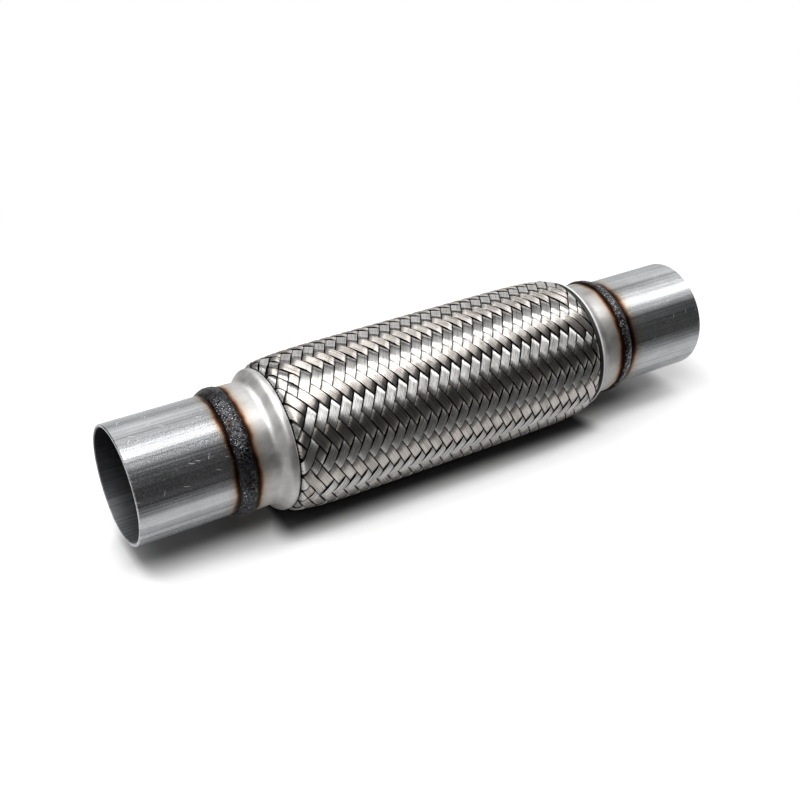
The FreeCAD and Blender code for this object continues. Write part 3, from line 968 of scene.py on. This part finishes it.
    def lay_uv(self, piece: Piece, row: np.ndarray, lane: np.ndarray, number: int) -> None:
        """Lays a UV map: U along the ribbon in millimetres, V across it in wires.

        Args:
            piece: The ribbon's mesh.
            row: Each vertex's row along it.
            lane: Each vertex's lane across it.
            number: The ribbon's number, which sets its V apart from the others'.
        """
        mesh = piece.data
        corners = np.empty(len(mesh.loops), dtype=int)
        mesh.loops.foreach_get("vertex_index", corners)
        u = row[corners] / self.cuts_a_step * self.step_length / MM
        v = np.minimum(lane[corners], self.top_lanes - 1) / 2 + number * (self.wires + 1)
        layer = mesh.uv_layers[0]
        layer.name = LAY_MAP
        layer.data.foreach_set("uv", np.stack([u, v], axis=1).ravel())

    def family(self, lean: Lean, wire: BraidWire) -> None:
        """Builds all the ribbons that wind one way, as one piece.

        Each ribbon is shaped on its own, because it has slips and changed crossings that no
        other has.

        Args:
            lean: Which way they wind.
            wire: Their finish.
        """
        ribbons = [self.ribbon(lean, number) for number in range(1, self.columns, 2)]
        deselect()
        for ribbon in ribbons:
            ribbon.select_set(True)
        bpy.context.view_layer.objects.active = ribbons[0]
        bpy.ops.object.join()
        piece = bpy.context.object
        bpy.ops.object.mode_set(mode="EDIT")
        bpy.ops.mesh.select_all(action="SELECT")
        bpy.ops.mesh.remove_doubles(threshold=0.0005 * MM)
        bpy.ops.mesh.select_all(action="DESELECT")
        bpy.ops.mesh.select_non_manifold(extend=False)
        bpy.ops.mesh.fill_holes(sides=0)
        bpy.ops.mesh.select_all(action="SELECT")
        bpy.ops.mesh.normals_make_consistent(inside=False)
        bpy.ops.object.mode_set(mode="OBJECT")
        name = f"braid_{lean.name.lower()}_ribbons"
        finish_piece(piece, name, wire.make(self.wires), "outer_braid")
        follow_joint(piece)

    def build(self) -> None:
        """Builds both families of ribbons in place of the CAD sleeve."""
        self.family(Lean.RISING, self.rising_wire)
        self.family(Lean.FALLING, self.falling_wire)


@dataclass
class Collar:
    """A pressed collar: a neck, a soft waist, and a flare up to a rounded lip."""

    neck_radius: float = 28.45 * MM
    wall: float = 1.2 * MM
    neck_start: float = 10.4 * MM
    waist_place: float = 7.3 * MM
    waist_dip: float = 0.4 * MM
    flare_place: float = 2.9 * MM
    flare_rise: float = 0.4 * MM
    lip_drop: float = 0.35 * MM
    bend_reach: float = 2.2 * MM
    edge_round: float = 0.4 * MM
    edge_lead: float = 0.1 * MM
    edge_inset: float = 0.22 * MM
    bend_cuts: int = 8
    steps: int = 256
    smooth_angle: float = 50.0
    dent: float = 0.16 * MM
    dent_reach: float = 11 * MM
    dent_stretch: float = 1.6
    dent_fade: float = 3 * MM
    weld_clearance: float = 5 * MM

    def edges(self, end: End) -> Place:
        """How far out the CAD collar's lip and neck end, and the lip's radius.

        Args:
            end: Which end it is at.

        Returns:
            The three lengths.
        """
        low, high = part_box(end.node("collar"))
        return (*sorted((abs(low.x), abs(high.x))), high.z)

    def bent_line(self, corners: list[Span], reach: float) -> list[Vector]:
        """A line through corners, bent round the inner ones.

        Args:
            corners: The corners, each a place along the pipe and a radius.
            reach: How far from a corner its bend starts.

        Returns:
            The line's points.
        """
        places = [Vector(corner) for corner in corners]
        line = [places[0]]
        for before, place, after in zip(places, places[1:], places[2:]):
            start = place + (before - place).normalized() * reach
            end = place + (after - place).normalized() * reach
            for cut in range(self.bend_cuts + 1):
                share = cut / self.bend_cuts
                line.append(start.lerp(place, share).lerp(place.lerp(end, share), share))
        return line + [places[-1]]

    def outline(self, end: End) -> list[Span]:
        """The collar's section: its outside to the lip, the rounded edge, and its inside back.

        Args:
            end: Which end it is at.

        Returns:
            Its corners, each a place along the pipe and a radius.
        """
        lip_edge, outer_edge, lip = self.edges(end)
        outside = [
            (outer_edge, self.neck_radius),
            (lip_edge + self.neck_start, self.neck_radius),
            (lip_edge + self.waist_place, self.neck_radius - self.waist_dip),
            (lip_edge + self.flare_place, lip + self.flare_rise),
            (lip_edge, lip - self.lip_drop),
        ]
        inside = [(along, radius - self.wall) for along, radius in reversed(outside)]
        outer = self.bent_line(outside, self.bend_reach)
        inner = self.bent_line(inside, self.bend_reach)
        outer[-1].x += self.edge_round
        inner[0].x += self.edge_round
        turn_in = [
            (lip_edge + self.edge_lead, outer[-1].y - self.edge_inset),
            (lip_edge, outer[-1].y - self.wall / 2),
            (lip_edge + self.edge_lead, inner[0].y + self.edge_inset),
        ]
        return [(end.value * along, radius) for along, radius in [*outer, *turn_in, *inner]]

    def build(self, end: End, material: Material) -> None:
        """Builds the collar in place of the CAD one, with the faint dents of its pressing.

        Args:
            end: Which end it is at.
            material: Its finish.
        """
        lip_edge, outer_edge, _ = self.edges(end)
        piece = turned_shell(self.outline(end), self.steps)
        places = vertex_places(piece)
        for index, (x, y, z) in enumerate(places):
            from_edges = min(abs(x) - lip_edge, outer_edge - abs(x) - self.weld_clearance)
            share = min(max(from_edges / self.dent_fade, 0.0), 1.0)
            bump = noise.noise(Vector((x * self.dent_stretch, y, z)) / self.dent_reach) * self.dent * share
            grown = 1 + bump / self.neck_radius
            places[index] = (x, y * grown, z * grown)
        move_vertices(piece, places)
        smooth(self.smooth_angle)
        finish_piece(piece, end.node("pressed_collar"), material, end.node("collar"))
        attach(piece, end.body())


@dataclass
class WeldBead:
    """A weld bead: a lumpy, rippled ring between a stub and its collar's edge."""

    around: int = 900
    across: int = 30
    smooth_angle: float = 60.0
    toe_gap: float = 0.02 * MM
    outlet_trim: float = 1.8 * MM
    arch_power: float = 0.55
    arch_low: float = 0.8
    surely_top: float = 28.6 * MM
    surely_rim: float = 0.55
    lump: float = 0.22 * MM
    lump_scale: float = 260.0
    fine_share: float = 0.45
    fine_scale: float = 800.0
    ripple: float = 0.04 * MM
    ripple_pitch: float = 2.1 * MM
    ripple_bow: float = 2.6
    ripple_sway: float = 1.5
    sway_scale: float = 150.0
    settle: float = 0.05 * MM
    toe_wander: float = 0.35 * MM
    wander_scale: float = 330.0
    wander_drift: float = 40.0

    def outline(self, end: End) -> list[Span]:
        """The bead's section, toe to toe over its crown and back along what it lies on.

        Args:
            end: Which end it is at.

        Returns:
            Its corners, each a place along the pipe and a radius.
        """
        low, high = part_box(end.node("weld_bead"))
        inner, outer = sorted((abs(low.x), abs(high.x)))
        if end is End.OUTLET:
            outer -= self.outlet_trim
        neck_edge = max(abs(corner.x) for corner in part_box(end.node("collar"))) + self.toe_gap
        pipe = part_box(end.node("stub_pipe"))[1].z + self.toe_gap
        neck = Collar.neck_radius + self.toe_gap
        rise = high.z - (pipe + neck) / 2
        line = []
        for index in range(self.across + 1):
            share = index / self.across
            arch = math.sin(math.pi * share) ** self.arch_power
            lean = self.arch_low + (1 - self.arch_low) * share
            line.append((outer + (inner - outer) * share, pipe + (neck - pipe) * share + rise * arch * lean))
        line += [(neck_edge, neck), (neck_edge, pipe)]
        return [(end.value * along, radius) for along, radius in line]

    def roughened(self, x: float, y: float, z: float, rim: float) -> Place:
        """A place on the bead's top moved by its lumps, ripples and wandering toes.

        Args:
            x: The place along the pipe.
            y: The place across it.
            z: The place up.
            rim: How near a toe it is, from 0 at the crown's middle to 1.

        Returns:
            The new place.
        """
        radius = math.hypot(y, z)
        spot = Vector((x, y, z))
        bump = noise.noise(spot * self.lump_scale) * self.lump
        bump += noise.noise(spot * self.fine_scale) * self.lump * self.fine_share
        phase = math.atan2(z, y) * radius / self.ripple_pitch * FULL_TURN + rim * rim * self.ripple_bow
        bump += math.sin(phase + self.ripple_sway * noise.noise(spot * self.sway_scale)) * self.ripple
        grown = 1 + (bump - self.settle) * (1 - rim**4) / radius
        drift = Vector((x * self.wander_drift, y * self.wander_scale, z * self.wander_scale))
        return (x + noise.noise(drift) * self.toe_wander * rim, y * grown, z * grown)

    def build(self, end: End, material: Material) -> None:
        """Builds the bead in place of the CAD one.

        Args:
            end: Which end it is at.
            material: Its finish.
        """
        outline = self.outline(end)
        piece = turned_shell(outline, self.around)
        places = vertex_places(piece)
        first, last = outline[0][0], outline[self.across][0]
        middle = (first + last) / 2
        half = abs(first - last) / 2
        for index, (x, y, z) in enumerate(places):
            rim = min(abs(x - middle) / half, 1.0)
            outer_toe = rim > self.surely_rim and x * end.value > middle * end.value
            if math.hypot(y, z) > self.surely_top or outer_toe:
                places[index] = self.roughened(x, y, z, rim)
        move_vertices(piece, places)
        smooth(self.smooth_angle)
        finish_piece(piece, end.node("weld_metal"), material, end.node("weld_bead"))
        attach(piece, end.body())


@dataclass
class Bellows:
    """The corrugated tube: half circles at crests and roots, joined by straight flanks."""

    pitch: float = 6.5 * MM
    sheet: float = 0.4 * MM
    cuff: float = 25.45 * MM
    root_radius: float = 26 * MM
    crest_gap: float = 2.3 * MM
    arc_cuts: int = 5
    steps: int = 72
    smooth_angle: float = 50.0
    # Painted shade: the bellows is painted dark, as the shade under the braid that shows through its gaps.
    finish: PlainSteel = PlainSteel("bellows_painted_shade", (0.22, 0.22, 0.22, 1.0), 0.3)

    def arc(self, middle: Span, radius: float, way: int, rise: int) -> list[Span]:
        """Half a circle of the section.

        Args:
            middle: The circle's middle: a place along the pipe and a radius of the tube.
            radius: The circle's own radius.
            way: Which way along the pipe it is drawn, 1 or -1.
            rise: 1 over its middle, as at a crest, or -1 under it, as at a root.

        Returns:
            Its points.
        """
        turns = [math.pi * cut / self.arc_cuts for cut in range(self.arc_cuts + 1)]
        along, height = middle
        return [
            (along - way * radius * math.cos(turn), height + rise * radius * math.sin(turn))
            for turn in turns
        ]

    def outline(self, braid: Braid) -> list[Span]:
        """The tube's section: its outside one way along the pipe, and its inside back.

        Args:
            braid: The braid that it lies under.

        Returns:
            Its corners, each a place along the pipe and a radius.
        """
        low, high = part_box("bellows")
        wide = self.pitch / 4 + self.sheet / 2
        count = int((2 * braid.lip_edge - 2 * wide) / self.pitch) + 1
        crests = [(number - (count - 1) / 2) * self.pitch for number in range(count)]
        inner_cuff = self.cuff - self.sheet
        line = [(low.x, self.cuff)]
        for way, bow, cuff, row in (
            (1, wide, self.cuff, crests),
            (-1, wide - self.sheet, inner_cuff, crests[::-1]),
        ):
            line.append((row[0] - way * bow, cuff))
            for along in row:
                crest = float(braid.crown(np.array([abs(along) + wide]))[0]) - self.crest_gap
                line += self.arc((along, crest - wide), bow, way, 1)
                if along != row[-1]:
                    root = (along + way * self.pitch / 2, self.root_radius + wide)
                    line += self.arc(root, self.pitch / 2 - bow, way, -1)
            line.append((row[-1] + way * bow, cuff))
            if way > 0:
                line += [(high.x, cuff), (high.x, inner_cuff)]
        return line

    def build(self, braid: Braid) -> None:
        """Builds the bellows in place of the CAD one.

        Args:
            braid: The braid that it lies under.
        """
        piece = turned_shell(self.outline(braid), self.steps)
        smooth(self.smooth_angle)
        finish_piece(piece, "bellows_tube", self.finish.make(), "bellows")
        follow_joint(piece)


@dataclass
class Liner:
    """The strip-wound tube: each turn's land stands proud of the step beside it."""

    pitch: float = 5.2 * MM
    land: float = 3.9 * MM
    step: float = 0.35 * MM
    wall: float = 1.0 * MM
    steps: int = 96
    smooth_angle: float = 40.0
    finish: PlainSteel = PlainSteel("liner_finish", (0.45, 0.44, 0.43, 1.0), 0.32)

    def outline(self) -> list[Span]:
        """The tube's section: its outside one way along the pipe, and its inside back.

        Returns:
            Its corners, each a place along the pipe and a radius.
        """
        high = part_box("interlock_liner")[1]
        end, outside, bore = high.x, high.z, high.z - self.wall
        base, groove = outside - self.step, bore + self.step
        turns = int(2 * end / self.pitch)
        middles = [(turn + 0.5 - turns / 2) * self.pitch for turn in range(turns)]
        line = [(-end, base)]
        for middle in middles:
            start, stop = middle - self.land / 2, middle + self.land / 2
            line += [(start, base), (start, outside), (stop, outside), (stop, base)]
        line += [(end, base), (end, bore)]
        half = (self.pitch - self.land) / 2
        for middle in reversed(middles):
            start, stop = middle + half, middle - half
            line += [(start, bore), (start, groove), (stop, groove), (stop, bore)]
        return line + [(-end, bore)]

    def build(self) -> None:
        """Builds the liner in place of the CAD one."""
        piece = turned_shell(self.outline(), self.steps)
        smooth(self.smooth_angle)
        finish_piece(piece, "liner_tube", self.finish.make(), "interlock_liner")
        follow_joint(piece)


@dataclass(frozen=True)
class EndFinishes:
    """The finishes of the pieces at one end of the pipe."""

    stub: StubSteel = StubSteel()
    collar: CollarSteel = CollarSteel()
    weld: WeldMetal = WeldMetal()


@dataclass
class RigidEnds:
    """The rigid ends: their stubs and rings are dressed, their collars and weld beads built."""

    inlet: EndFinishes = EndFinishes()
    outlet: EndFinishes = EndFinishes(
        StubSteel("outlet_stub_finish", roughness=0.29, weld_toe=106.0 * MM, tint_reach=9 * MM),
        CollarSteel("outlet_collar_finish", lip_edge=84.2 * MM, shaded_to=83.7 * MM),
        WeldMetal("outlet_weld_finish", painted_glint_start=0.56),
    )
    ring: PlainSteel = PlainSteel("ring_finish", (0.5, 0.5, 0.5, 1.0), 0.3)

    def build(self) -> None:
        """Builds and dresses both ends."""
        ring = self.ring.make()
        for end, finishes in ((End.INLET, self.inlet), (End.OUTLET, self.outlet)):
            Collar().build(end, finishes.collar.make())
            dress(end.node("stub_pipe"), finishes.stub.make())
            dress(end.node("support_ring"), ring)
            WeldBead().build(end, finishes.weld.make())


@dataclass
class FlexPipe:
    """The whole pipe: its braid, the two tubes inside and its rigid ends."""

    braid: Braid = field(default_factory=Braid)
    bellows: Bellows = field(default_factory=Bellows)
    liner: Liner = field(default_factory=Liner)
    ends: RigidEnds = field(default_factory=RigidEnds)

    def build(self) -> None:
        """Builds and dresses every piece."""
        self.braid.build()
        self.bellows.build(self.braid)
        self.liner.build()
        self.ends.build()


@dataclass(frozen=True)
class Lamp:
    """An area light: where it hangs and points, its length along X and its width, and its watts."""

    name: str
    place: Place
    aim: Place
    size: Span
    power: float

    def hang(self) -> None:
        """Adds the light to the scene."""
        deselect()
        bpy.ops.object.light_add(type="AREA", location=self.place)
        light = bpy.context.object
        light.name = self.name
        light.data.shape = "RECTANGLE"
        light.data.size, light.data.size_y = self.size
        light.data.energy = self.power
        back = (Vector(self.place) - Vector(self.aim)).normalized()
        up = back.cross(Vector((1, 0, 0))).normalized()
        light.rotation_euler = Matrix((up.cross(back), up, back)).transposed().to_euler()


@dataclass
class Studio:
    """A pale floor, overhead lights, a white backdrop side and a dark room in front.

    The room's brightness is given by degrees round the pipe's axis from straight up, positive
    towards the camera. Spans are in metres on the floor, and in degrees or parts of 1 in the room.
    """

    floor_size: float = 8.0
    floor_colour: Colour = (0.69, 0.69, 0.69, 1.0)
    floor_front_shade: Colour = (0.05, 0.05, 0.05, 1.0)
    floor_roughness: float = 0.9
    white_span: Span = (0.22, 0.42)
    front_shade_span: Span = (-0.12, -0.035)
    braid_shade: float = 0.93
    braid_shade_along: Span = (82 * MM, 94 * MM)
    braid_shade_aside: Span = (18 * MM, 34 * MM)
    stub_shade: float = 0.72
    stub_shade_along: Span = (135 * MM, 165 * MM)
    stub_shade_aside: Span = (6 * MM, 22 * MM)
    outlet_shade_along: Span = (112 * MM, 142 * MM)
    lamps: tuple[Lamp, ...] = (
        Lamp("overhead_strip", (0.45, -0.13, 0.95), (0.3, 0.0, 0.0), (1.2, 0.22), 4.0),
        Lamp("overhead_box", (-0.35, -0.10, 0.95), (-0.35, -0.10, 0.0), (0.5, 1.25), 9.0),
    )
    room: dict[float, float] = field(
        default_factory=lambda: {
            -170: 0.8,
            -97: 1.25,
            -84: 0.80,
            -74: 0.60,
            -64: 0.72,
            -56: 1.15,
            -46: 1.3,
            -39: 0.80,
            -12: 0.62,
            22: 0.35,
            36: 0.20,
            50: 0.03,
            170: 0.03,
        }
    )
    dark_side: Span = (0.0, 0.16)
    dark_back: Span = (-50.0, -36.0)
    pale_side: Span = (-0.05, 0.12)
    pale_start: Span = (14.324, 25.783)
    pale_end: Span = (46.0, 58.0)
    patch_share: float = 0.85
    flag_low: Place = (0.03, 0.11, 0.336)
    flag_high: Place = (0.40, 0.34, 0.336)
    flag_cloth: Colour = (0.004, 0.004, 0.004, 1.0)
    camera_place: Place = (-0.26355, -0.41047, 0.28928)
    camera_yaw: float = 58.57
    camera_pitch: float = 31.19
    camera_clip: float = 0.01
    focal_share: float = 1189.63 / 800
    sensor: float = 36.0

    def build(self) -> None:
        """Builds the floor, the lights, the card, the world and the camera."""
        self.floor()
        for lamp in self.lamps:
            lamp.hang()
        self.flag()
        self.world()
        self.camera()

    def painted_contact_shadow(self, recipe: Recipe, along: Socket, aside: Socket) -> Socket:
        """The contact shadow painted under the pipe, on the floor that the camera sees.

        Args:
            recipe: The floor's recipe.
            along: The place along the pipe.
            aside: The place across it.

        Returns:
            The shade's strength as a socket.
        """
        across = recipe.calculate("ABSOLUTE", aside)
        out = recipe.calculate("ABSOLUTE", along)
        under_braid = recipe.spread(out, self.braid_shade_along, (1.0, 0.0))
        by_braid = recipe.spread(across, self.braid_shade_aside, (self.braid_shade, 0.0))
        under_stub = recipe.spread(out, self.stub_shade_along, (1.0, 0.0))
        before_outlet = recipe.spread(along, self.outlet_shade_along, (1.0, 0.0))
        by_stub = recipe.spread(across, self.stub_shade_aside, (self.stub_shade, 0.0))
        stub = recipe.calculate("MULTIPLY", recipe.calculate("MULTIPLY", under_stub, before_outlet), by_stub)
        return recipe.calculate("MAXIMUM", recipe.calculate("MULTIPLY", under_braid, by_braid), stub)

    def floor(self) -> None:
        """A pale floor under the pipe, white for the camera apart from a contact shadow painted under the
        pipe, and painted dark in front where only reflections see it.
        """
        deselect()
        bpy.ops.mesh.primitive_plane_add(size=self.floor_size, location=(0, 0, cad_lowest.z))
        floor = bpy.context.object
        floor.name = "floor"
        recipe = Recipe("floor_paint")
        place = recipe.object_place()
        along, aside, _ = recipe.split(place)
        seen = recipe.camera_ray()
        far = recipe.spread(recipe.length(place), self.white_span)
        white = recipe.calculate("MULTIPLY", seen, far)
        # Painted shade: for everything but the camera, the floor's front is painted dark, so the metal
        # reflects darkness there.
        unseen = recipe.blend(recipe.spread(aside, self.front_shade_span), self.floor_front_shade, self.floor_colour)
        # Painted shadow: the floor's colour for the camera is darkened under the braid and stubs as a
        # contact shadow.
        shown = recipe.blend(self.painted_contact_shadow(recipe, along, aside), WHITE, BLACK)
        paint = recipe.surface(
            {
                "Base Color": recipe.blend(white, recipe.blend(seen, unseen, shown), BLACK),
                "Emission Color": WHITE,
                "Emission Strength": white,
                "Roughness": self.floor_roughness,
                "Specular IOR Level": 0.0,
            }
        )
        floor.data.materials.append(paint)

    def flag(self) -> None:
        """A black card over the far side that only reflections see, for dark facets in the braid."""
        deselect()
        low, high = Vector(self.flag_low), Vector(self.flag_high)
        bpy.ops.mesh.primitive_plane_add(size=1, location=(low + high) / 2)
        card = bpy.context.object
        card.name = "black_flag"
        card.scale = (high.x - low.x, high.y - low.y, 1.0)
        cloth = {"Base Color": self.flag_cloth, "Roughness": 1.0, "Specular IOR Level": 0.0}
        card.data.materials.append(Recipe("flag_cloth").surface(cloth))
        card.visible_camera = False
        card.visible_diffuse = False
        card.visible_shadow = False

    def world(self) -> None:
        """White for the camera; for everything else a pale backdrop side and a dark room."""
        world = bpy.data.worlds.new("studio")
        bpy.context.scene.world = world
        world.use_nodes = True
        sky = NodeTree(world.node_tree)
        x, y, z = sky.split(sky.node("TexCoord", {}).outputs["Generated"])
        turn = sky.calculate("ARCTAN2", sky.calculate("MULTIPLY", y, -1.0), z)
        share = sky.calculate("ADD", sky.calculate("DIVIDE", turn, FULL_TURN), 0.5)
        stops = {0.5 + degrees / 360: (level,) * 3 for degrees, level in self.room.items()}
        level = sky.ramp(share, stops)

        # The inlet's side of the room is dark low at the back, and pale above the front.
        dark_back, pale_start, pale_end = (
            (math.radians(low), math.radians(high))
            for low, high in (self.dark_back, self.pale_start, self.pale_end)
        )
        dark = sky.spread(x, self.dark_side, (self.patch_share, 0.0))
        dark = sky.calculate("MULTIPLY", dark, sky.spread(turn, dark_back, (1.0, 0.0)))
        level = sky.blend(dark, level, BLACK)
        above = sky.spread(turn, pale_end, (self.patch_share, 0.0))
        above = sky.calculate("MULTIPLY", above, sky.spread(turn, pale_start))
        pale = sky.calculate("MULTIPLY", sky.spread(x, self.pale_side, (1.0, 0.0)), above)
        level = sky.blend(pale, level, WHITE)
        background = world.node_tree.nodes["Background"]
        sky.put(background.inputs["Color"], sky.blend(sky.camera_ray(), level, WHITE))
        background.inputs["Strength"].default_value = 1.0

    def camera(self) -> None:
        """The camera at the photograph's viewing angle."""
        tilt = math.radians(90 - self.camera_pitch)
        turn = math.radians(self.camera_yaw - 90)
        bpy.ops.object.camera_add(location=self.camera_place, rotation=(tilt, 0, turn))
        camera = bpy.context.object
        camera.data.sensor_width = self.sensor
        camera.data.lens = self.focal_share * self.sensor
        camera.data.clip_start = self.camera_clip
        bpy.context.scene.camera = camera


def main() -> None:
    """Builds the pipe and its studio, logging each built piece's triangle count."""
    logging.basicConfig(level=logging.INFO, format="%(name)s: %(message)s")
    bpy.context.scene.view_settings.view_transform = "Standard"
    FlexPipe().build()
    Studio().build()


if __name__ == "__main__":
    main()
